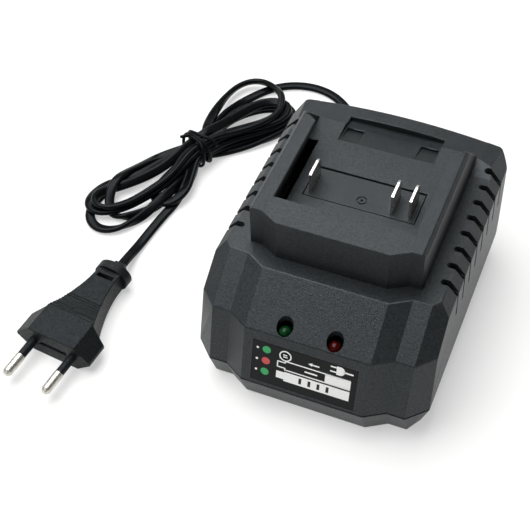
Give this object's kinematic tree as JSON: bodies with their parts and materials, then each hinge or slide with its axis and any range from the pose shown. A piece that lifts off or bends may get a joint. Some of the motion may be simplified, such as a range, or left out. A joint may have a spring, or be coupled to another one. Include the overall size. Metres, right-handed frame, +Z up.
{
  "type": "power tool battery charger",
  "caption": "Charger for slide-on tool batteries: rail cradle with blade contacts, status lamps, side vents and a flat mains lead with a two-pin plug, tied in a hank.",
  "frame": {"origin": "on the table under the middle of the case, without its lead", "axes": "+X across the case, +Y along the case from the lamps to the rear wall, +Z up"},
  "size_m": [0.1791, 0.2136, 0.0725],
  "materials": {
    "case_plastic": "fine spark-eroded texture",
    "block_plastic": "fine spark-eroded texture",
    "foot_rubber": "matt",
    "screw_steel": "zinc plated",
    "contact_metal": "nickel plated",
    "lamp_green": "tinted clear resin",
    "lamp_red": "tinted clear resin",
    "board_resin": "solder mask",
    "label_film": "satin printed film",
    "ferrite": "sintered, matt",
    "winding_tape": "polyester tape",
    "copper_wire": "enamelled",
    "capacitor_sleeve": "shrink sleeve",
    "film_box": "moulded box",
    "sink_aluminium": "sawn, clear",
    "device_resin": "moulded epoxy",
    "fuse_metal": "plated",
    "wire_red": "insulation",
    "wire_blue": "insulation",
    "gland_rubber": "moulded",
    "cord_pvc": "extruded sheath",
    "tie_pvc": "sheathed wire",
    "plug_pvc": "moulded, lightly textured",
    "pin_metal": "nickel plated"
  },
  "bodies": {
    "root": {"lower_shell": "case_plastic", "upper_shell": "case_plastic", "rubber_feet": "foot_rubber", "case_screws": "screw_steel", "terminal_block": "block_plastic", "terminal_negative": "contact_metal", "terminal_positive": "contact_metal", "terminal_sense": "contact_metal", "lamp_green": "lamp_green", "lamp_red": "lamp_red", "lamp_board": "board_resin", "status_label": "label_film", "circuit_board": "board_resin", "board_screws": "screw_steel", "transformer_core": "ferrite", "transformer_winding": "winding_tape", "noise_choke": "copper_wire", "bulk_capacitor": "capacitor_sleeve", "film_capacitor": "film_box", "output_capacitors": "capacitor_sleeve", "primary_heat_sink": "sink_aluminium", "output_heat_sink": "sink_aluminium", "power_transistor": "device_resin", "output_rectifier": "device_resin", "bridge_rectifier": "device_resin", "fuse": "fuse_metal", "control_chip": "device_resin", "output_wires": "wire_red", "mains_wires": "wire_blue", "cord_clamp": "block_plastic", "clamp_screws": "screw_steel", "cord_gland": "gland_rubber", "cord_lead": "cord_pvc", "cord_hank": "cord_pvc", "cord_tie": "tie_pvc", "cord_plug_lead": "cord_pvc", "plug_body": "plug_pvc", "plug_pins": "pin_metal", "plug_sleeves": "plug_pvc"}
  },
  "joints": []
}
